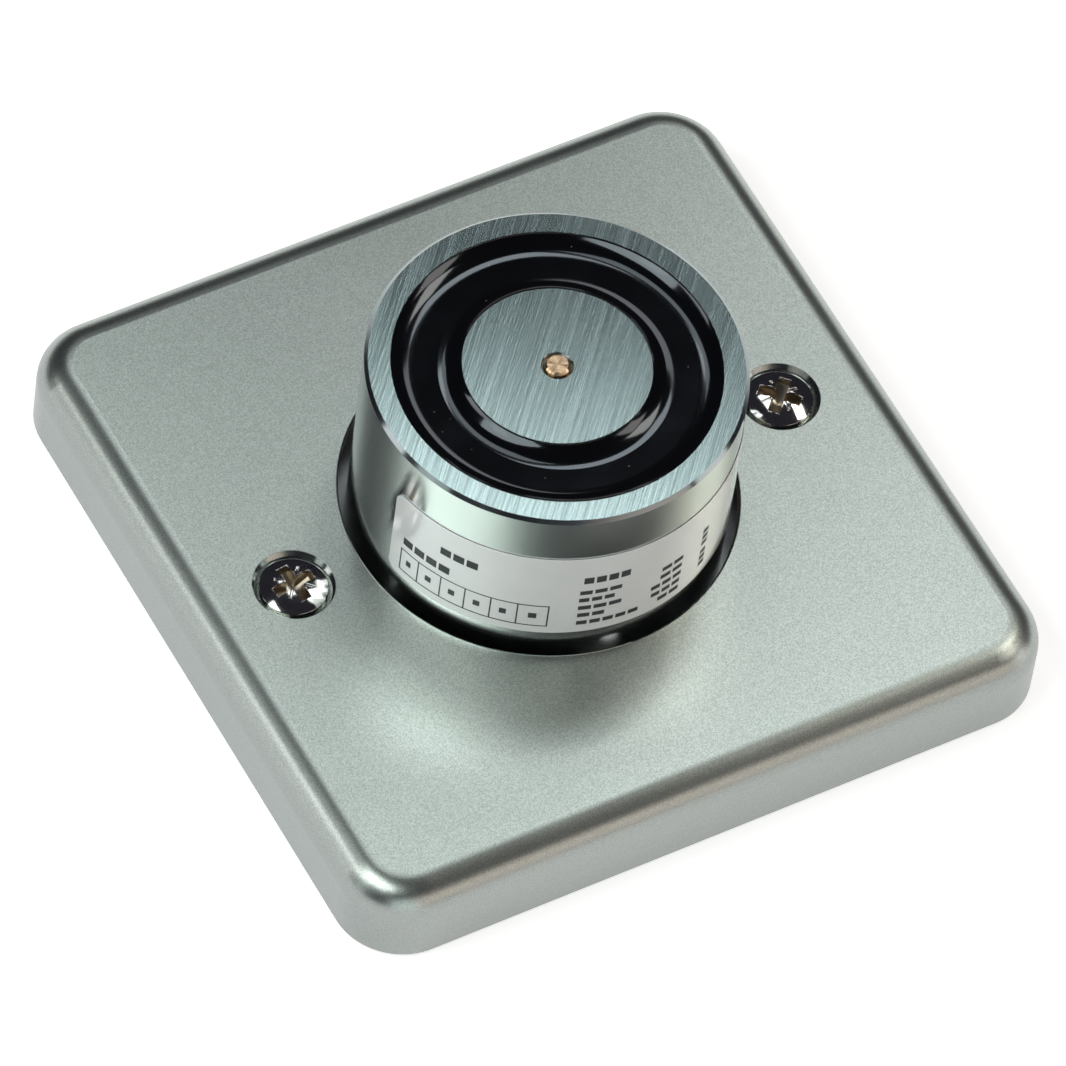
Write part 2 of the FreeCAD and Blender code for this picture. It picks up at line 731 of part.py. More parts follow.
def make_terminal_tubes():
    """Brass clamping tubes, tapped from above for their screws."""
    piece = Piece("terminal_tubes", turn=dim.terminal_angle)
    end = piece.sketch("YZ_Plane", off=terminal_front + dim.tube_recess)
    for side in (1, -1):
        draw_circle(end, side * pole_place, tube_axis, dim.tube_diameter)
        draw_circle(end, side * pole_place, tube_axis, dim.tube_bore)
    piece.extrude("Pad", end, dim.terminal_length - 2 * dim.tube_recess)
    tapped = piece.sketch("XY_Plane", off=tube_axis + dim.tube_diameter / 2)
    for side in (1, -1):
        for place in (1, -1):
            draw_circle(tapped, terminal_middle + place * dim.clamp_spacing / 2,
                        side * pole_place, dim.clamp_diameter + 2 * dim.thread_gap)
    piece.extrude("Pocket", tapped, dim.tube_diameter / 2)


def make_terminal_screws():
    """Slotted clamping screws, two on each tube."""
    piece = Piece("terminal_screws", turn=dim.terminal_angle)
    foot = tube_axis + dim.lead_diameter / 2 + dim.thread_gap
    top = terminal_top - dim.clamp_below
    ends = piece.sketch("XY_Plane", off=foot)
    slots = piece.sketch("XY_Plane", off=top)
    for side in (1, -1):
        for place in (1, -1):
            x = terminal_middle + place * dim.clamp_spacing / 2
            y = side * pole_place
            draw_circle(ends, x, y, dim.clamp_diameter)
            draw_box(slots, (x - dim.clamp_slot / 2, y - dim.clamp_diameter),
                     (x + dim.clamp_slot / 2, y + dim.clamp_diameter))
    piece.extrude("Pad", ends, top - foot)
    piece.extrude("Pocket", slots, dim.clamp_slot)


def make_terminal_fixing_screw():
    """Screw that holds the terminal to the base plate."""
    piece = Piece("terminal_fixing_screw", turn=dim.terminal_angle)
    head = dim.holder_head / 2
    shank = dim.holder_thread / 2
    top = terminal_top - dim.clamp_below
    under = top - dim.holder_head_height
    piece.turn("Revolution", [
        (0, dim.holder_above_wall), (shank, dim.holder_above_wall), (shank, under),
        (head, under), (head, top), (0, top)], along=terminal_middle)
    slot = piece.sketch("XY_Plane", off=top)
    draw_box(slot, (terminal_middle - dim.clamp_slot / 2, -dim.holder_head),
             (terminal_middle + dim.clamp_slot / 2, dim.holder_head))
    piece.extrude("Pocket", slot, dim.clamp_slot)


def make_diode():
    """Suppressor across the terminal: a moulded body on two bent legs."""
    body = Piece("diode_body", turn=dim.terminal_angle)
    end = body.sketch("XZ_Plane", off=-dim.diode_length / 2)
    draw_circle(end, diode_place, tube_axis, dim.diode_diameter)
    body.extrude("Pad", end, dim.diode_length)
    legs = Piece("diode_legs", turn=dim.terminal_angle)
    start = terminal_back - dim.tube_recess - dim.lead_in_tube
    path = legs.sketch("XY_Plane", off=tube_axis)
    bend = dim.diode_leg_bend
    draw(path, [(start, pole_place), (diode_place - bend, pole_place),
                (diode_place, pole_place - bend), (diode_place, dim.diode_length / 2)],
         {1: ((diode_place - bend, pole_place - bend), -1)}, closed=False)
    section = legs.sketch("YZ_Plane", off=start)
    draw_circle(section, pole_place, tube_axis, dim.diode_leg)
    legs.mirror([legs.pipe(path, section)], "XZ_Plane")


def make_cable_bush():
    """Rubber bush that lines the cable's hole in the base plate."""
    piece = Piece("cable_bush", turn=dim.cable_angle)
    bore = dim.cable_bore / 2
    neck = dim.cable_hole / 2
    flange = dim.bush_flange / 2
    top = dim.base_sheet + dim.bush_flange_height
    piece.turn("Revolution", [
        (bore, as_size(0)), (neck, as_size(0)), (neck, dim.base_sheet), (flange, dim.base_sheet),
        (flange, top), (bore, top)], along=cable_place)


make_base_plate()
make_cover_posts()
make_magnet_pot()
make_magnet_screws()
make_coil_bobbin()
make_ring("coil_winding", winding_bore, winding_radius)
make_ring("winding_tape", winding_radius, tape_radius)
make_potting_ring()
make_ejector_pin()
make_ejector_spring()
make_spring_seat_screw()
make_rating_label()
make_lead_sleeves()
make_coil_lead("coil_lead_plus", 1)
make_coil_lead("coil_lead_minus", -1)
make_terminal_housing()
make_terminal_tubes()
make_terminal_screws()
make_terminal_fixing_screw()
make_diode()
make_cable_bush()
make_cover_plate()
make_cover_screws()
doc.recompute()

for item in doc.Objects:
    if "Invalid" in item.State or "Error" in item.State:
        raise RuntimeError(f"{item.Label} could not be worked out: {item.State}")
for piece in Piece.made:
    if piece.body.Shape.isNull() or not piece.body.Shape.isValid():
        raise RuntimeError(f"{piece.body.Label} has no valid solid")

os.makedirs("parts", exist_ok=True)
for piece in Piece.made:
    shape = piece.body.Shape
    shape.exportStep(f"parts/{piece.body.Label}.step")
    print(piece.body.Label, len(shape.Solids), round(shape.Volume, 2))
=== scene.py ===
"""Looks of a wall-mounted electromagnetic door holder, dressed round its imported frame."""

import logging
import math
from collections.abc import Sequence
from dataclasses import dataclass, field
from enum import Enum

import bpy
import numpy as np
from mathutils import Matrix, Vector


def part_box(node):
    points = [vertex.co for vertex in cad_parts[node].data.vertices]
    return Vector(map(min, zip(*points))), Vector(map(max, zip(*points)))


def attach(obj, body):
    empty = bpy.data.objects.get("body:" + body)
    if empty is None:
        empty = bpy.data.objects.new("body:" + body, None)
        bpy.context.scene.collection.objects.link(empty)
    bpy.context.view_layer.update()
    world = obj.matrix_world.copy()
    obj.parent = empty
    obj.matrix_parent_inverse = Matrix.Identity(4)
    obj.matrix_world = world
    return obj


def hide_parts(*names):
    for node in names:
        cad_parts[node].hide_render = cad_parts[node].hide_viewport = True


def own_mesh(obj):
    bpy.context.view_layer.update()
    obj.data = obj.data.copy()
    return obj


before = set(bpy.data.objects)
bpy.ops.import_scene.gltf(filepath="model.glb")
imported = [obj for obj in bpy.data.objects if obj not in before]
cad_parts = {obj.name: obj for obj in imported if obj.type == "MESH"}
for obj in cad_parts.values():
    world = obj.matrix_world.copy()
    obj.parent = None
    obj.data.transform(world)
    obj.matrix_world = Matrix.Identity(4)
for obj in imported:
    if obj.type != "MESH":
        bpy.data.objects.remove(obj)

Vec = tuple[float, float, float]
Colour = tuple[float, float, float]
Span = tuple[float, float]
Patch = tuple[float, float, float, float]
Socket = bpy.types.NodeSocket
Value = float | Vec | Socket

MM = 0.001
HOLDER = "holder"
LOG = logging.getLogger("door_holder")

# Distance of the cover screws from the middle, in millimetres
SCREW_PLACE = 30.15

# Parts of a noise's range that become the whole range of a colour or roughness
NARROW: Span = (0.35, 0.65)
WIDE: Span = (0.3, 0.7)

# Colour of the lamps above the magnet
COOL: Colour = (0.94, 0.99, 1.0)


class Facing(Enum):
    """The ways in which a lamp can look."""

    DOWN = (0.0, 0.0, -1.0)
    BACK = (0.0, 1.0, 0.0)
    RIGHT = (1.0, 0.0, 0.0)
    LEFT = (-1.0, 0.0, 0.0)


class Graph:
    """A material's node tree round one principled shader, put together in short steps."""

    def __init__(self, name: str) -> None:
        """Starts an empty material.

        Args:
            name: The material's name.
        """
        self.material = bpy.data.materials.new(name)
        self.material.use_nodes = True
        self.tree = self.material.node_tree
        self.tree.nodes.clear()
        self.shader = self.add("ShaderNodeBsdfPrincipled")
        output = self.add("ShaderNodeOutputMaterial")
        self.tree.links.new(self.shader.outputs[0], output.inputs["Surface"])

    def add(self, kind: str, inputs: dict[str | int, Value] | None = None,
            **settings: object) -> bpy.types.Node:
        """Adds a node.

        Args:
            kind: Blender's name of the node type.
            inputs: Values or sockets for the node's inputs.
            **settings: Properties of the node itself.

        Returns:
            The new node.
        """
        node = self.tree.nodes.new(kind)
        for name, setting in settings.items():
            setattr(node, name, setting)
        for key, value in (inputs or {}).items():
            self.feed(node, key, value)
        return node

    def feed(self, node: bpy.types.Node, key: str | int, value: Value) -> None:
        """Links a socket to a node's input, or sets the input's own value.

        Args:
            node: The node to feed.
            key: The input's name or index.
            value: A socket or a constant.
        """
        if isinstance(value, bpy.types.NodeSocket):
            self.tree.links.new(value, node.inputs[key])
        elif node.inputs[key].type == "RGBA":
            node.inputs[key].default_value = (*value[:3], 1.0)
        else:
            node.inputs[key].default_value = value

    def set(self, inputs: dict[str, Value]) -> None:
        """Feeds inputs of the principled shader."""
        for key, value in inputs.items():
            self.feed(self.shader, key, value)

    def place(self) -> Socket:
        """The place on the piece, in metres of the frame."""
        return self.add("ShaderNodeTexCoord").outputs["Object"]

    def normal(self) -> Socket:
        """The direction in which the surface faces."""
        return self.add("ShaderNodeNewGeometry").outputs["Normal"]

    def split(self, vector: Socket) -> bpy.types.NodeOutputs:
        """The x, y and z of a vector."""
        return self.add("ShaderNodeSeparateXYZ", {0: vector}).outputs

    def join(self, x: Value, y: Value, z: Value) -> Socket:
        """A vector from three numbers."""
        return self.add("ShaderNodeCombineXYZ", {0: x, 1: y, 2: z}).outputs[0]

    def math(self, operation: str, a: Value, b: Value = 0.0) -> Socket:
        """The result of a sum, product or comparison of two numbers."""
        return self.add("ShaderNodeMath", {0: a, 1: b}, operation=operation).outputs[0]

    def stretched(self, vector: Socket, scale: Vec, turn: float = 0.0) -> Socket:
        """A place turned about Z and then scaled along its axes.

        Args:
            vector: The place.
            scale: Scale along x, y and z.
            turn: Turn about Z in degrees, made before the scaling.

        Returns:
            The changed place.
        """
        turned = self.add("ShaderNodeVectorRotate", {"Vector": vector, "Angle": math.radians(-turn)},
                          rotation_type="Z_AXIS").outputs[0]
        return self.add("ShaderNodeVectorMath", {0: turned, 1: scale}, operation="MULTIPLY").outputs[0]

    def off_screw(self, place: Socket) -> Socket:
        """Distance from the axis of the nearer cover screw.

        Args:
            place: The place on the piece.

        Returns:
            The distance's socket, in metres.
        """
        axes = self.split(place)
        across = self.math("SUBTRACT", self.math("ABSOLUTE", axes["X"]), SCREW_PLACE * MM)
        return self.add("ShaderNodeVectorMath", {0: self.join(across, axes["Y"], 0.0)},
                        operation="LENGTH").outputs["Value"]

    def noise(self, vector: Socket, scale: float, detail: float = 2.0, rough: float = 0.5) -> Socket:
        """Soft random values about one half.

        Args:
            vector: The place.
            scale: Number of waves to a unit of the place.
            detail: Finer layers added.
            rough: Weight of the finer layers.

        Returns:
            The value's socket.
        """
        return self.add("ShaderNodeTexNoise", {"Vector": vector, "Scale": scale, "Detail": detail,
                                               "Roughness": rough}).outputs[0]

    def ranged(self, value: Value, low: float, high: float, to_low: Value = 0.0,
               to_high: Value = 1.0) -> Socket:
        """A value carried smoothly from one range to another.

        Args:
            value: The value.
            low: Start of its range.
            high: End of its range.
            to_low: What the start becomes.
            to_high: What the end becomes.

        Returns:
            The new value's socket.
        """
        return self.add("ShaderNodeMapRange", {"Value": value, "From Min": low, "From Max": high,
                                               "To Min": to_low, "To Max": to_high},
                        interpolation_type="SMOOTHSTEP").outputs[0]

    def mixed(self, share: Value, a: Value, b: Value) -> Socket:
        """A number between two others."""
        return self.add("ShaderNodeMix", {0: share, 2: a, 3: b}).outputs[0]

    def blend(self, share: Value, a: Value, b: Value) -> Socket:
        """A colour between two others."""
        return self.add("ShaderNodeMix", {0: share, 6: a, 7: b}, data_type="RGBA").outputs[2]

    def between(self, share: Value, a: Value, b: Value) -> Socket:
        """A vector between two others."""
        return self.add("ShaderNodeMix", {0: share, 4: a, 5: b}, data_type="VECTOR").outputs[1]

    def bump(self, height: Socket, strength: Value, distance: float) -> Socket:
        """A normal that follows a height.

        Args:
            height: The height, in units of the distance.
            strength: Share of the bump that shows.
            distance: Depth of the bump in metres.

        Returns:
            The normal's socket.
        """
        return self.add("ShaderNodeBump", {"Height": height, "Strength": strength,
                                           "Distance": distance}).outputs[0]


@dataclass(frozen=True)
class Finish:
    """A finish that can be laid on a piece. Its lengths are in metres."""

    name: str

    def material(self) -> bpy.types.Material:
        """The finish's material, made when it is first asked for."""
        return bpy.data.materials.get(self.name) or self.make()

    def make(self) -> bpy.types.Material:
        """Makes the material."""
        raise NotImplementedError


@dataclass(frozen=True)
class SatinSteel(Finish):
    """Pressed stainless sheet with a fine blasted grain and softly brushed walls, whose darker colour is
    painted shade.
    """

    colour: Colour = (0.525, 0.572, 0.535)
    shade: Colour = (0.352, 0.39, 0.36)
    # The wall colours are painted shade: darker copies of the top's colours for the sheet's walls.
    wall: Colour = (0.378, 0.402, 0.388)
    painted_shade_wall_dark: Colour = (0.308, 0.328, 0.317)
    rough: Span = (0.315, 0.335)
    cloud: float = 60.0
    grain: float = 6000.0
    brushing: Vec = (140.0, 140.0, 9000.0)
    depth: float = 3.0e-6
    speckle: float = 8500.0
    speckle_range: Span = (0.38, 0.62)
    flat_range: Span = (0.35, 0.9)
    dimple_radius: float = 0.00452
    dimple_rough: float = 0.14

    def make(self) -> bpy.types.Material:
        """Makes the material.

        Returns:
            The material.
        """
        g = Graph(self.name)
        place = g.place()
        flat = g.ranged(g.math("ABSOLUTE", g.split(g.normal())["Z"]), *self.flat_range)
        pebbles = g.noise(place, self.grain, detail=3.0, rough=0.6)
        brushed = g.noise(g.stretched(place, self.brushing), 1.0, rough=0.6)
        speckle = g.ranged(g.noise(place, self.speckle, detail=1.0, rough=0.6), *self.speckle_range)
        rough = g.ranged(g.noise(place, self.cloud), *WIDE, *self.rough)
        pressed = g.math("LESS_THAN", g.off_screw(place), self.dimple_radius)
        grainy = g.math("SUBTRACT", 1.0, pressed)
        # Painted shade: faces that are not flat take the darker wall colours.
        g.set({"Metallic": 1.0,
               "Base Color": g.blend(flat, g.blend(speckle, self.painted_shade_wall_dark, self.wall),
                                     g.blend(speckle, self.shade, self.colour)),
               "Roughness": g.mixed(pressed, rough, self.dimple_rough),
               "Normal": g.bump(g.mixed(flat, brushed, pebbles), grainy, self.depth)})
        return g.material


@dataclass(frozen=True)
class GroundZinc(Finish):
    """Zinc-plated pot: straight grinding marks on the pole faces, turned lines on the side, painted shade on
    the chamfered edges.
    """

    colour: Colour = (0.66, 0.84, 0.835)
    side_colour: Colour = (0.68, 0.71, 0.70)
    # Painted shade: a dark colour for the chamfered edges, so that they reflect less.
    rim_painted_shade: Colour = (0.33, 0.37, 0.38)
    furrow: float = 0.5
    top_rough: Span = (0.22, 0.28)
    side_rough: Span = (0.12, 0.15)
    cloud: float = 130.0
    grind_angle: float = 48.0
    grinding: Vec = (30.0, 6500.0, 10.0)
    cross_turn: float = 9.0
    cross_grinding: Vec = (60.0, 5200.0, 10.0)
    cross_share: float = 0.25
    turning: Vec = (3.0, 3.0, 5200.0)
    depth: float = 1.3e-6
    top_range: Span = (0.8, 0.97)
    painted_shade_rim_range: Span = (0.15, 0.4)
    side_stretch: float = 0.6
    top_stretch: float = 1.0
    stretch_turn: float = 0.25

    def make(self) -> bpy.types.Material:
        """Makes the material.

        Returns:
            The material.
        """
        g = Graph(self.name)
        place, facing = g.place(), g.normal()
        upright = g.split(facing)["Z"]
        top = g.ranged(upright, *self.top_range)
        # Mask of the chamfered edges, where the painted shade is laid.
        rim = g.math("SUBTRACT", g.ranged(upright, *self.painted_shade_rim_range), top)
        ground = self.ground(g, place)
        turned = g.noise(g.stretched(place, self.turning), 1.0, detail=3.0, rough=0.6)
        cloud = g.noise(place, self.cloud, detail=4.0, rough=0.6)
        side_rough = g.ranged(cloud, *NARROW, *self.side_rough)
        top_rough = g.ranged(ground, *WIDE, *self.top_rough)
        worn = g.blend(g.ranged(ground, *WIDE), tuple(self.furrow * c for c in self.colour), self.colour)
        angle = math.radians(self.grind_angle)
        along = (math.cos(angle), math.sin(angle), 0.0)
        round_about = g.add("ShaderNodeVectorMath", {0: facing, 1: (0.0, 0.0, 1.0)},
                            operation="CROSS_PRODUCT").outputs[0]
        g.set({"Metallic": 1.0,
               "Base Color": g.blend(rim, g.blend(top, self.side_colour, worn), self.rim_painted_shade),
               "Roughness": g.mixed(top, side_rough, top_rough),
               "Anisotropic": g.mixed(top, self.side_stretch, self.top_stretch),
               "Anisotropic Rotation": self.stretch_turn,
               "Tangent": g.between(top, round_about, along),
               "Normal": g.bump(g.mixed(top, turned, ground), 1.0, self.depth)})
        return g.material

    def ground(self, g: Graph, place: Socket) -> Socket:
        """Long grinding marks with fainter ones that cross them at a small angle.

        Args:
            g: The material's graph.
            place: The place on the piece.

        Returns:
            The height of the marks.
        """
        crossing = self.grind_angle - self.cross_turn
        lines = g.noise(g.stretched(place, self.grinding, self.grind_angle), 1.0, rough=0.7)
        cross = g.noise(g.stretched(place, self.cross_grinding, crossing), 1.0, rough=0.6)
        return g.math("ADD", g.math("MULTIPLY", lines, 1.0 - self.cross_share),
                      g.math("MULTIPLY", cross, self.cross_share))


@dataclass(frozen=True)
class PlainMetal(Finish):
    """Plated or turned metal with fine wear."""

    colour: Colour
    shade: Colour
    rough: Span
    wear: float
    fineness: float = 9.0
    depth: float = 1.0e-6
    rings: bool = False
    turning: Span = (9000.0, 6000.0)
    stretch: float = 0.95

    def make(self) -> bpy.types.Material:
        """Makes the material.

        Returns:
            The material.
        """
        g = Graph(self.name)
        place = g.place()
        cloud = g.noise(place, self.wear, detail=4.0, rough=0.6)
        if self.rings:
            height = self.turned(g, place)
        else:
            height = g.noise(place, self.wear * self.fineness)
        g.set({"Metallic": 1.0,
               "Base Color": g.blend(g.ranged(cloud, *NARROW), self.shade, self.colour),
               "Roughness": g.ranged(cloud, *WIDE, *self.rough),
               "Normal": g.bump(height, 1.0, self.depth)})
        return g.material

    def turned(self, g: Graph, place: Socket) -> Socket:
        """Turned lines about the Z axis, with the gleam stretched across them.

        Args:
            g: The material's graph.
            place: The place on the piece.

        Returns:
            The height of the lines.
        """
        x, y, z = (g.split(place)[axis] for axis in "XYZ")
        radius = g.math("SQRT", g.math("ADD", g.math("MULTIPLY", x, x), g.math("MULTIPLY", y, y)))
        g.set({"Anisotropic": self.stretch, "Tangent": g.join(x, y, 0.0)})
        out, along = (g.math("MULTIPLY", way, scale) for way, scale in zip((radius, z), self.turning))
        return g.noise(g.join(out, along, 0.0), 1.0, detail=1.0)


@dataclass(frozen=True)
class ScrewPlate(Finish):
    """Bright plating of a raised screw head, dulled inside its recess, where a darker, browner colour is
    painted as shade.
    """

    colour: Colour = (0.78, 0.765, 0.75)
    shade: Colour = (0.70, 0.685, 0.67)
    # Painted shade: the darker, browner colour inside the recess.
    recess_painted_shade: Colour = (0.46, 0.40, 0.32)
    rough: Span = (0.06, 0.11)
    recess_rough: float = 0.28
    wear: float = 400.0
    fine_wear: float = 3600.0
    depth: float = 1.0e-6
    crown: float = 0.010875
    ball: float = 0.0087
    recess_range: Span = (0.0002, 0.0005)
    recess_reach: float = 0.0027

    def make(self) -> bpy.types.Material:
        """Makes the material.

        Returns:
            The material.
        """
        g = Graph(self.name)
        place = g.place()
        reach = g.off_screw(place)
        fall = g.math("DIVIDE", g.math("MULTIPLY", reach, reach), 2.0 * self.ball)
        below = g.math("SUBTRACT", g.math("SUBTRACT", self.crown, fall), g.split(place)["Z"])
        # Mask of the recess, which dulls the plating and carries the painted shade.
        inside = g.math("MULTIPLY", g.ranged(below, *self.recess_range),
                        g.math("LESS_THAN", reach, self.recess_reach))
        cloud = g.noise(place, self.wear, detail=4.0, rough=0.6)
        plated = g.blend(g.ranged(cloud, *NARROW), self.shade, self.colour)
        rough = g.ranged(cloud, *WIDE, *self.rough)
        g.set({"Metallic": 1.0,
               "Base Color": g.blend(inside, plated, self.recess_painted_shade),
               "Roughness": g.mixed(inside, rough, self.recess_rough),
               "Normal": g.bump(g.noise(place, self.fine_wear), 1.0, self.depth)})
        return g.material


@dataclass(frozen=True)
class CastResin(Finish):
    """Glossy black casting resin with a little dust on it."""

    colour: Colour = (0.0025, 0.0025, 0.0032)
    dust: Colour = (0.16, 0.16, 0.17)
    sheen: Colour = (0.80, 0.91, 1.0)
    rough: Span = (0.09, 0.115)
    rough_scale: float = 150.0
    rough_range: Span = (0.35, 0.7)
    bending: float = 1.55
    skin: float = 0.3
    skin_rough: float = 0.04
    speck_cells: float = 700.0
    speck_size: float = 0.055
    dust_scale: float = 260.0
    dust_range: Span = (0.5, 0.62)
    ripple: float = 180.0
    ripple_share: float = 0.5
    ripple_depth: float = 2.0e-5

    def make(self) -> bpy.types.Material:
        """Makes the material.

        Returns:
            The material.
        """
        g = Graph(self.name)
        place = g.place()
        cells = g.add("ShaderNodeTexVoronoi", {"Vector": place, "Scale": self.speck_cells})
        dots = g.math("LESS_THAN", cells.outputs["Distance"], self.speck_size)
        dusty = g.ranged(g.noise(place, self.dust_scale, detail=1.0), *self.dust_range)
        ripple = g.noise(place, self.ripple, detail=1.0)
        rough = g.noise(place, self.rough_scale, detail=3.0)
        g.set({"Base Color": g.blend(g.math("MULTIPLY", dots, dusty), self.colour, self.dust),
               "Roughness": g.ranged(rough, *self.rough_range, *self.rough),
               "IOR": self.bending,
               "Specular Tint": self.sheen,
               "Coat Weight": self.skin,
               "Coat Roughness": self.skin_rough,
               "Normal": g.bump(ripple, self.ripple_share, self.ripple_depth)})
        return g.material


@dataclass(frozen=True)
class Moulded(Finish):
    """Plastic, rubber, film, ink or wound wire: one colour with faint mottling and grain."""

    colour: Colour
    shade: Colour
    rough: Span = (0.35, 0.5)
    cloud: float = 160.0
    grain: float = 1800.0
    depth: float = 2.0e-6
    bands: float = 0.0
    band_grain: float = 0.3
    film: float = 0.0
    film_rough: float = 0.12

    def make(self) -> bpy.types.Material:
        """Makes the material.

        Returns:
            The material.
        """
        g = Graph(self.name)
        place = g.place()
        cloud = g.noise(place, self.cloud, detail=4.0, rough=0.6)
        height = g.noise(place, self.grain)
        if self.bands:
            turns = g.math("SINE", g.math("MULTIPLY", g.split(place)["Z"], self.bands))
            height = g.math("ADD", turns, g.math("MULTIPLY", height, self.band_grain))
        g.set({"Base Color": g.blend(g.ranged(cloud, *WIDE), self.shade, self.colour),
               "Roughness": g.ranged(cloud, *WIDE, *self.rough),
               "Coat Weight": self.film,
               "Coat Roughness": self.film_rough,
               "Normal": g.bump(height, 1.0, self.depth)})
        return g.material


SATIN_STEEL = SatinSteel("satin_steel")
GROUND_ZINC = GroundZinc("ground_zinc")
BRIGHT_PLATE = ScrewPlate("bright_plate")
BASE_ZINC = PlainMetal("base_zinc", colour=(0.60, 0.62, 0.63), shade=(0.54, 0.56, 0.572),
                       rough=(0.34, 0.44), wear=320.0, depth=2.0e-6)
BRASS = PlainMetal("brass_turned", colour=(0.86, 0.62, 0.40), shade=(0.80, 0.56, 0.355),
                   rough=(0.17, 0.21), wear=900.0, rings=True)
SPRING_WIRE = PlainMetal("spring_wire", colour=(0.55, 0.55, 0.56), shade=(0.42, 0.42, 0.43),
                         rough=(0.22, 0.34), wear=700.0)
COPPER_WIRE = Moulded("wound_copper", colour=(0.55, 0.20, 0.07), shade=(0.42, 0.14, 0.05),
                      rough=(0.22, 0.34), bands=18000.0, depth=4.0e-5)
BLACK_RESIN = CastResin("cast_resin")
LABEL_FILM = Moulded("label_film", colour=(0.86, 0.875, 0.87), shade=(0.82, 0.835, 0.83),
                     rough=(0.13, 0.19), grain=2400.0, depth=0.6e-6, film=1.0)
INK = Moulded("print_ink", colour=(0.030, 0.032, 0.035), shade=(0.048, 0.050, 0.054), rough=(0.4, 0.55))
BLACK_RUBBER = Moulded("bush_rubber", colour=(0.022, 0.022, 0.022), shade=(0.014, 0.014, 0.015),
                       rough=(0.55, 0.72), grain=2600.0, depth=6.0e-6)
BOBBIN_NYLON = Moulded("bobbin_nylon", colour=(0.75, 0.72, 0.62), shade=(0.68, 0.64, 0.54))
AMBER_TAPE = Moulded("amber_tape", colour=(0.72, 0.46, 0.08), shade=(0.62, 0.38, 0.06), rough=(0.2, 0.35))
GREY_TERMINAL = Moulded("terminal_grey", colour=(0.48, 0.49, 0.48), shade=(0.42, 0.43, 0.42))
RED_LEAD = Moulded("lead_red", colour=(0.50, 0.025, 0.02), shade=(0.42, 0.02, 0.016))
BLACK_LEAD = Moulded("lead_black", colour=(0.02, 0.02, 0.021), shade=(0.013, 0.013, 0.014))
DIODE_BLACK = Moulded("diode_black", colour=(0.016, 0.016, 0.017), shade=(0.011, 0.011, 0.012))
DIODE_BAND = Moulded("diode_band", colour=(0.62, 0.62, 0.61), shade=(0.55, 0.55, 0.54))


def dress(node: str, finish: Finish) -> None:
    """Lays a finish on a carried-over node.

    Args:
        node: The node's name.
        finish: The finish to lay on it.
    """
    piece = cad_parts[node]
    piece.data.materials.clear()
    piece.data.materials.append(finish.material())
    LOG.info("%s dressed in %s", node, finish.name)


def full_turn(steps: int) -> np.ndarray:
    """Evenly spaced angles of one full turn, in radians."""
    return np.arange(steps) * 2.0 * math.pi / steps


def turned_rows(radius: np.ndarray, height: np.ndarray, angles: np.ndarray) -> np.ndarray:
    """Lays rows of points round the Z axis.

    Args:
        radius: Radius of each row, or of each point in it, with the rows first.
        height: Height of each row.
        angles: Angles of the columns in radians.

    Returns:
        Points as an array of rows, columns and coordinates.
    """
    return np.stack([radius * np.cos(angles), radius * np.sin(angles), height + 0.0 * angles], axis=-1)


@dataclass
class Shell:
    """Points and faces gathered for one mesh, in millimetres."""

    points: list[Vec] = field(default_factory=list)
    faces: list[tuple[int, ...]] = field(default_factory=list)
    sharp_angle: float = 35.0

    def add(self, points: Sequence[Vec], faces: Sequence[Sequence[int]], move: Matrix | None = None) -> None:
        """Adds points and the faces between them.

        Args:
            points: The new points.
            faces: Indices into the new points.
            move: Where to put them, in millimetres.
        """
        first = len(self.points)
        if move is not None:
            points = [tuple(move @ Vector(point)) for point in points]
        self.points.extend(tuple(point) for point in points)
        self.faces.extend(tuple(first + i for i in face) for face in faces)

    def grid(self, rows: np.ndarray, wrap: bool = False, move: Matrix | None = None) -> None:
        """Adds a net of four-sided faces.

        Args:
            rows: Points as an array of rows, columns and coordinates.
            wrap: Whether the last column meets the first.
            move: Where to put the net.
        """
        count, width = rows.shape[:2]
        faces = [(i * width + j, i * width + (j + 1) % width, (i + 1) * width + (j + 1) % width,
                  (i + 1) * width + j)
                 for i in range(count - 1) for j in range(width if wrap else width - 1)]
        self.add([tuple(point) for point in rows.reshape(-1, 3)], faces, move)

    def lathe(self, profile: Sequence[Span], steps: int, move: Matrix | None = None) -> None:
        """Adds a turned surface about the Z axis.

        Args:
            profile: Pairs of radius and height.
            steps: Number of steps round the axis.
            move: Where to put the surface.
        """
        radius, height = (np.array(column)[:, None] for column in zip(*profile))
        self.grid(turned_rows(radius, height, full_turn(steps)), wrap=True, move=move)

    def piece(self, name: str, finish: Finish) -> bpy.types.Object:
        """Makes the mesh object and lets it ride on the holder.

        Args:
            name: The piece's name.
            finish: Its finish.

        Returns:
            The new object.
        """
        mesh = bpy.data.meshes.new(name)
        mesh.from_pydata([tuple(MM * c for c in point) for point in self.points], [], self.faces)
        mesh.validate()
        for polygon in mesh.polygons:
            polygon.use_smooth = True
        mesh.set_sharp_from_angle(angle=math.radians(self.sharp_angle))
        mesh.materials.append(finish.material())
        obj = bpy.data.objects.new(name, mesh)
        bpy.context.scene.collection.objects.link(obj)
        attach(obj, HOLDER)
        LOG.info("%s built with %d faces", name, len(mesh.polygons))
        return obj


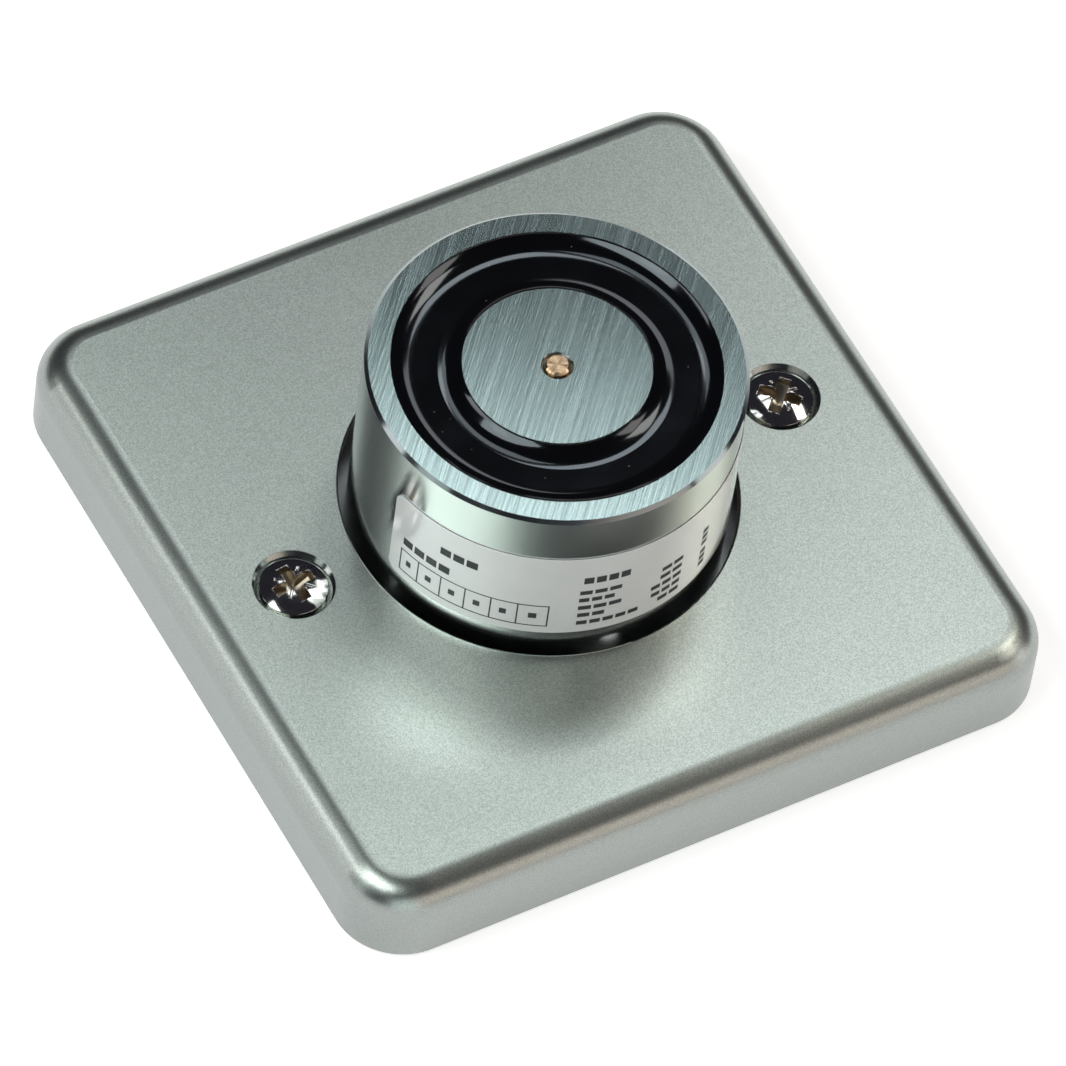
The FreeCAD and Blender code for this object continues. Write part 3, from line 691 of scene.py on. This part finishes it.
@dataclass
class CoverScrew:
    """Raised countersunk screw with a cross recess, four marks between its wings and a thread."""

    x: float
    turn: float
    head: float = 7.5
    rim_height: float = 9.525
    rim: float = 0.5
    edge: float = 0.04
    dome: float = 0.85
    length: float = 8.0
    thread: float = 4.0
    pitch: float = 0.7
    groove: float = 0.43
    run_out: float = 0.5
    run_in: float = 0.4
    first_groove: float = 0.25
    point: float = 0.5
    span: float = 4.9
    wing: float = 1.38
    recess: float = 2.2
    recess_wall: float = 0.24
    recess_rise: float = 0.62
    recess_curve: float = 1.4
    mark_depth: float = 0.28
    mark_half: float = 0.17
    mark_side: float = 0.1
    mark_reach: float = 0.9
    mark_end: float = 0.15
    cells: int = 168
    head_steps: int = 96
    thread_steps: int = 48
    rows_per_turn: int = 10

    def dome_height(self, radius: np.ndarray) -> np.ndarray:
        """Height of the plain dome above the head's brow."""
        ball = ((self.head / 2) ** 2 + self.dome ** 2) / (2 * self.dome)
        return np.sqrt(np.maximum(ball ** 2 - radius ** 2, 0.0)) - (ball - self.dome)

    def recess_depth(self, x: np.ndarray, y: np.ndarray) -> np.ndarray:
        """Depth of the recess and its marks below the dome.

        Args:
            x: Places across the head.
            y: Places across the head.

        Returns:
            The depth at each place.
        """
        reach, flank = self.span / 2, self.wing / 2
        radius = np.hypot(x, y)
        inside = np.full_like(x, -self.head)
        for along, across in ((np.abs(x), np.abs(y)), (np.abs(y), np.abs(x))):
            inside = np.maximum(inside, np.minimum(reach - along, flank - across))
        wall = np.clip(inside / self.recess_wall, 0.0, 1.0)
        outward = np.clip(radius / reach, 0.0, 1.0) ** self.recess_curve
        depth = self.recess * (1.0 - self.recess_rise * outward) * wall * wall * (3.0 - 2.0 * wall)
        u, v = (x + y) / math.sqrt(2.0), (x - y) / math.sqrt(2.0)
        for along, across in ((np.abs(u), np.abs(v)), (np.abs(v), np.abs(u))):
            side = np.clip((self.mark_half - across) / self.mark_side, 0.0, 1.0)
            end = np.clip((self.mark_reach * reach - along) / self.mark_end, 0.0, 1.0)
            depth = np.maximum(depth, self.mark_depth * np.minimum(side, end))
        return depth

    def disc(self) -> tuple[np.ndarray, np.ndarray]:
        """Pulls a square net of places out to the head's round edge.

        Returns:
            The places' x and y.
        """
        side = np.linspace(-1, 1, self.cells + 1)
        a, b = np.meshgrid(side, side, indexing="ij")
        wide = np.abs(a) >= np.abs(b)
        lead = np.where(wide, a, b)
        ratio = np.divide(np.where(wide, b, a), lead, out=np.zeros_like(a), where=lead != 0)
        angle = np.where(wide, ratio * math.pi / 4, math.pi / 2 - ratio * math.pi / 4)
        return self.head / 2 * lead * np.cos(angle), self.head / 2 * lead * np.sin(angle)

    def build(self, shell: Shell) -> None:
        """Adds the screw's surfaces to a shell.

        Args:
            shell: Where to add them.
        """
        x, y = self.disc()
        brow = self.rim_height + self.rim
        top = brow + self.dome_height(np.hypot(x, y)) - self.recess_depth(x, y)
        move = Matrix.Translation((self.x, 0.0, 0.0)) @ Matrix.Rotation(math.radians(self.turn), 4, "Z")
        shell.grid(np.stack([x, y, top], axis=-1)[::-1], move=move)
        head, shank = self.head / 2, self.thread / 2
        neck = self.rim_height - (head - shank)
        flank = [(shank, neck), (head, self.rim_height), (head, brow - self.edge), (head - self.edge, brow)]
        shell.lathe(flank, self.head_steps, move)
        self.build_thread(shell, neck, brow - self.length, move)

    def build_thread(self, shell: Shell, neck: float, tip: float, move: Matrix) -> None:
        """Adds the threaded shank.

        Args:
            shell: Where to add it.
            neck: Height at which the shank meets the head.
            tip: Height of the shank's end.
            move: Where the screw stands.
        """
        angles = full_turn(self.thread_steps)
        count = int((neck - tip) / self.pitch * self.rows_per_turn)
        heights = np.linspace(tip, neck, count)[:, None]
        phase = (heights / self.pitch - angles / (2.0 * math.pi)) % 1.0
        groove = 1.0 - np.abs(2.0 * phase - 1.0)
        fade = np.clip((neck - heights) / self.run_out, 0.0, 1.0)
        fade = fade * np.clip((heights - tip) / self.run_in, self.first_groove, 1.0)
        point = self.point * np.clip(1.0 - (heights - tip) / self.point, 0.0, 1.0)
        rows = turned_rows(self.thread / 2 - self.groove * groove * fade - point, heights, angles)
        shell.grid(rows, wrap=True, move=move)
        shell.add([tuple(place) for place in rows[0]], [tuple(reversed(range(self.thread_steps)))], move)


@dataclass
class Cover:
    """The pressed cover and its two screws."""

    left_turn: float = 7.0
    right_turn: float = 45.0

    def build(self) -> None:
        """Dresses the cover and builds its screws."""
        dress("cover_plate", SATIN_STEEL)
        shell = Shell()
        CoverScrew(-SCREW_PLACE, self.left_turn).build(shell)
        CoverScrew(SCREW_PLACE, self.right_turn).build(shell)
        screws = shell.piece("cover_screws_cut", BRIGHT_PLATE)
        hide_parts("cover_screws")


@dataclass
class Magnet:
    """The pot magnet with its coil and casting."""

    def build(self) -> None:
        """Dresses the magnet's pieces."""
        dress("magnet_pot", GROUND_ZINC)
        dress("potting_ring", BLACK_RESIN)
        dress("coil_bobbin", BOBBIN_NYLON)
        dress("coil_winding", COPPER_WIRE)
        dress("winding_tape", AMBER_TAPE)
        dress("magnet_screws", BASE_ZINC)


@dataclass
class Ejector:
    """The sprung pin in the magnet's core."""

    joint: str = "ejector_slide"
    travel: float = 1.0
    wire: float = 0.5
    mean: float = 3.8
    turns: float = 8.0
    turn_shares: tuple[float, ...] = (0.0, 0.11, 0.89, 1.0)
    rise_shares: tuple[float, ...] = (0.0, 0.045, 0.955, 1.0)
    steps: int = 28
    sides: int = 12

    def build(self) -> None:
        """Dresses the pin and its seat and winds the spring."""
        dress("ejector_pin", BRASS)
        dress("spring_seat_screw", BASE_ZINC)
        low, high = (point.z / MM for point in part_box("ejector_spring"))
        spring = self.wound(low, high)
        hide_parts("ejector_spring")
        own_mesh(spring)

    def wound(self, low: float, high: float) -> bpy.types.Object:
        """Winds the spring with closed end turns.

        Args:
            low: Height of its lower end in millimetres.
            high: Height of its upper end in millimetres.

        Returns:
            The spring.
        """
        ring = self.wire / 2
        t = np.linspace(0.0, 1.0, int(self.turns * self.steps) + 1)
        rise = low + ring + (high - low - self.wire) * np.interp(t, self.turn_shares, self.rise_shares)
        turn = 2.0 * math.pi * self.turns * t
        side = full_turn(self.sides)
        out = self.mean / 2 + ring * np.cos(side)[None, :]
        rows = np.stack([out * np.cos(turn)[:, None], out * np.sin(turn)[:, None],
                         rise[:, None] + ring * np.sin(side)[None, :]], axis=-1)
        shell = Shell()
        shell.grid(rows[:, ::-1], wrap=True)
        for row, order in ((rows[0], range(self.sides)), (rows[-1], reversed(range(self.sides)))):
            shell.add([tuple(point) for point in row], [tuple(order)])
        return shell.piece("ejector_spring_wound", SPRING_WIRE)


@dataclass
class Label:
    """The white label on the pot's side, with a ruled table and plain bars for its print.

    Angles are in degrees round the pot and heights in millimetres. A patch has a start and an end angle
    and a lower and an upper edge.
    """

    radius: float = 20.97
    lift: float = 0.012
    line: float = 0.16
    chord: float = 1.5
    table: Patch = (194.0, 243.1, 14.25, 18.0)
    columns: tuple[float, ...] = (201.0, 209.2, 217.3, 225.4, 233.5)
    cell_share: float = 0.13
    cell_half: float = 0.45
    gap: float = 0.8
    word: float = 4.0
    rows: tuple[Patch, ...] = (
        (208.0, 220.4, 21.9, 23.1), (194.6, 211.8, 18.9, 20.1), (252.2, 266.6, 21.9, 23.0),
        (251.5, 264.4, 19.9, 20.6), (251.5, 262.4, 18.55, 19.25), (251.5, 264.9, 17.15, 17.85),
        (251.6, 259.8, 15.8, 16.5), (251.6, 271.0, 14.4, 15.1),
        (278.2, 286.3, 19.7, 20.4), (277.9, 286.2, 18.35, 19.05), (274.9, 286.3, 16.95, 17.65),
        (275.3, 286.1, 15.6, 16.3), (278.0, 286.0, 14.3, 15.0))
    column: Span = (294.9, 297.6)
    column_places: tuple[float, ...] = (15.0, 16.1, 17.2, 18.8, 19.9, 21.0)
    column_bar: float = 0.75

    def build(self) -> None:
        """Dresses the label and lays its print on it."""
        dress("rating_label", LABEL_FILM)
        shell = Shell()
        self.rule_table(shell)
        self.lay_bars(shell)
        print_piece = shell.piece("label_print", INK)

    def bar(self, shell: Shell, start: float, end: float, low: float, high: float) -> None:
        """Lays one bar on the pot's side.

        Args:
            shell: Where to add it.
            start: Angle of its left end.
            end: Angle of its right end.
            low: Height of its lower edge.
            high: Height of its upper edge.
        """
        angles = np.radians(np.linspace(start, end, max(2, math.ceil((end - start) / self.chord) + 1)))
        edges = np.array([[low], [high]])
        shell.grid(turned_rows(np.full_like(edges, self.radius + self.lift), edges, angles))

    def rule_table(self, shell: Shell) -> None:
        """Rules the table's frame and columns and puts a short bar in each cell.

        Args:
            shell: Where to add the lines.
        """
        start, end, low, high = self.table
        wide = math.degrees(self.line / self.radius)
        for z in (low, high - self.line):
            self.bar(shell, start, end, z, z + self.line)
        for angle in (start, *self.columns, end - wide):
            self.bar(shell, angle, angle + wide, low, high)
        edges = (start, *self.columns, end)
        middle = (low + high) / 2
        for left, right in zip(edges, edges[1:]):
            centre = (left + right) / 2
            half = self.cell_share * (right - left)
            self.bar(shell, centre - half, centre + half, middle - self.cell_half, middle + self.cell_half)

    def lay_bars(self, shell: Shell) -> None:
        """Lays rows of short bars, and a column of them, that stand for lines of print.

        Args:
            shell: Where to add the bars.
        """
        for start, end, low, high in self.rows:
            count = max(1, round((end - start) / self.word))
            step = (end - start + self.gap) / count
            for i in range(count):
                self.bar(shell, start + i * step, start + (i + 1) * step - self.gap, low, high)
        for low in self.column_places:
            self.bar(shell, *self.column, low, low + self.column_bar)


@dataclass
class Terminal:
    """The terminal with its leads and suppressor."""

    diode_turn: float = 45.0
    diode_axis: float = 50.09
    diode_height: float = 4.9
    diode_radius: float = 1.3
    band: Span = (1.2, 1.9)
    band_lift: float = 0.015
    band_steps: int = 48

    def build(self) -> None:
        """Dresses the terminal's pieces and adds the suppressor's band."""
        dress("terminal_housing", GREY_TERMINAL)
        dress("terminal_tubes", BRASS)
        dress("terminal_screws", BASE_ZINC)
        dress("terminal_fixing_screw", BASE_ZINC)
        dress("lead_sleeves", BLACK_LEAD)
        dress("coil_lead_plus", RED_LEAD)
        dress("coil_lead_minus", BLACK_LEAD)
        dress("diode_body", DIODE_BLACK)
        dress("diode_legs", BASE_ZINC)
        shell = Shell()
        out = self.diode_radius + self.band_lift
        move = (Matrix.Rotation(math.radians(self.diode_turn), 4, "Z")
                @ Matrix.Translation((self.diode_axis, 0.0, self.diode_height))
                @ Matrix.Rotation(math.radians(90.0), 4, "X"))
        shell.lathe([(out, place) for place in self.band], self.band_steps, move)
        shell.piece("diode_band", DIODE_BAND)


@dataclass
class Base:
    """The base plate with its posts and cable bush."""

    def build(self) -> None:
        """Dresses the base's pieces."""
        dress("base_plate", BASE_ZINC)
        dress("cover_posts", BASE_ZINC)
        dress("cable_bush", BLACK_RUBBER)


@dataclass
class Softbox:
    """A soft lamp with an evenly bright front, in metres."""

    name: str
    place: Vec
    size: Span
    glow: float
    facing: Facing = Facing.DOWN
    colour: Colour = (1.0, 1.0, 1.0)
    turn: float = 0.0

    def build(self) -> None:
        """Hangs the lamp."""
        lamp = bpy.data.lights.new(self.name, "AREA")
        lamp.shape = "RECTANGLE"
        lamp.size, lamp.size_y = self.size
        lamp.energy = self.glow * math.pi * self.size[0] * self.size[1]
        lamp.color = self.colour
        obj = bpy.data.objects.new(self.name, lamp)
        bpy.context.scene.collection.objects.link(obj)
        obj.location = self.place
        aimed = Vector(self.facing.value).to_track_quat("-Z", "Y").to_matrix()
        obj.rotation_euler = (Matrix.Rotation(math.radians(self.turn), 3, "Z") @ aimed).to_euler()
        obj.visible_camera = False


@dataclass
class Studio:
    """Floor, light and camera."""

    lens: float = 392.35
    sensor: float = 36.0
    clip: Span = (0.05, 20.0)
    place: Vec = (-0.431571, -0.608938, 1.030943)
    right: Vec = (0.87679929, -0.47271472, 0.08811241)
    up: Vec = (0.34040911, 0.73961713, 0.58059292)
    back: Vec = (-0.33962427, -0.47906919, 0.80941217)
    floor_size: float = 6.0
    floor_drop: float = 0.0002
    floor_colour: Colour = (0.86, 0.86, 0.86)
    floor_glow: float = 0.55
    world: Colour = (0.020, 0.020, 0.026)
    lamps: tuple[Softbox, ...] = (
        Softbox("key_left", (-0.285, -0.045, 0.40), (0.23, 0.33), 3.9, colour=(0.94, 1.0, 0.98)),
        Softbox("far_left", (-0.50, 0.20, 0.40), (0.20, 0.40), 2.8),
        Softbox("middle", (0.168, 0.133, 0.40), (0.14, 0.09), 3.8, colour=COOL),
        Softbox("slant", (0.083, 0.2435, 0.40), (0.055, 0.036), 4.5, colour=COOL, turn=-42.0),
        Softbox("middle_left", (0.03, 0.20, 0.40), (0.08, 0.26), 2.05, colour=COOL),
        Softbox("side_right", (0.30, -0.03, 0.40), (0.14, 0.18), 4.5, colour=(1.0, 0.95, 0.86)),
        Softbox("far_right", (0.31, 0.28, 0.40), (0.16, 0.18), 1.9),
        Softbox("key_right", (0.42, -0.24, 0.40), (0.26, 0.20), 2.6, colour=(1.0, 0.90, 0.82)),
        Softbox("warm_card", (0.25, -0.60, 0.22), (0.70, 0.36), 1.05, Facing.BACK, (1.0, 0.86, 0.77)),
        Softbox("front_low", (-0.30, -0.60, 0.10), (0.60, 0.20), 1.35, Facing.BACK, (0.90, 1.0, 0.97)),
        Softbox("front_high", (-0.30, -0.60, 0.30), (0.60, 0.20), 1.0, Facing.BACK, (0.90, 0.98, 1.0)),
        Softbox("left_low", (-0.60, 0.30, 0.10), (0.20, 0.60), 1.5, Facing.RIGHT),
        Softbox("left_high", (-0.60, 0.0, 0.30), (0.20, 1.20), 0.75, Facing.RIGHT, (0.90, 1.0, 0.98)),
        Softbox("right_low", (0.60, -0.40, 0.15), (0.30, 0.40), 1.45, Facing.LEFT, (1.0, 0.97, 0.93)),
    )

    def build(self) -> None:
        """Sets up the whole studio."""
        self.set_view()
        self.lay_floor()
        self.light_world()
        for lamp in self.lamps:
            lamp.build()
        self.stand_camera()

    def set_view(self) -> None:
        """Shows colours as they are."""
        bpy.context.scene.view_settings.view_transform = "Standard"

    def lay_floor(self) -> None:
        """Lays a white floor that can be looked through from below."""
        half = self.floor_size / 2
        mesh = bpy.data.meshes.new("floor")
        mesh.from_pydata([(-half, -half, 0.0), (half, -half, 0.0), (half, half, 0.0), (-half, half, 0.0)],
                         [], [(0, 1, 2, 3)])
        floor = bpy.data.objects.new("floor", mesh)
        bpy.context.scene.collection.objects.link(floor)
        floor.location.z = -self.floor_drop
        floor.data.materials.append(self.floor_finish())

    def floor_finish(self) -> bpy.types.Material:
        """Makes the floor's white, which keeps the object's shadow.

        Returns:
            The material.
        """
        g = Graph("studio_floor")
        ray = g.add("ShaderNodeLightPath").outputs
        seen = g.math("MAXIMUM", g.math("MAXIMUM", ray["Is Camera Ray"], ray["Is Glossy Ray"]),
                      ray["Is Transmission Ray"])
        below = g.add("ShaderNodeNewGeometry").outputs["Backfacing"]
        g.set({"Base Color": self.floor_colour, "Roughness": 1.0, "Specular IOR Level": 0.0,
               "Emission Color": (1.0, 1.0, 1.0),
               "Emission Strength": g.math("MULTIPLY", seen, self.floor_glow),
               "Alpha": g.math("SUBTRACT", 1.0, below)})
        return g.material

    def light_world(self) -> None:
        """Fills the studio with a little even light."""
        world = bpy.data.worlds.new("studio")
        world.use_nodes = True
        world.node_tree.nodes["Background"].inputs["Color"].default_value = (*self.world, 1.0)
        bpy.context.scene.world = world

    def stand_camera(self) -> None:
        """Stands the camera where the object is seen from."""
        data = bpy.data.cameras.new("camera")
        data.lens = self.lens
        data.sensor_width = self.sensor
        data.sensor_fit = "HORIZONTAL"
        data.clip_start, data.clip_end = self.clip
        camera = bpy.data.objects.new("camera", data)
        bpy.context.scene.collection.objects.link(camera)
        turned = Matrix((self.right, self.up, self.back)).transposed().to_4x4()
        camera.matrix_world = Matrix.Translation(self.place) @ turned
        bpy.context.scene.camera = camera


def main() -> None:
    """Builds the sub-assemblies and the studio in order."""
    logging.basicConfig(level=logging.INFO, format="%(message)s")
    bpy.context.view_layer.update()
    for assembly in (Base(), Magnet(), Ejector(), Label(), Terminal(), Cover(), Studio()):
        assembly.build()
        LOG.info("%s ready", type(assembly).__name__)


if __name__ == "__main__":
    main()
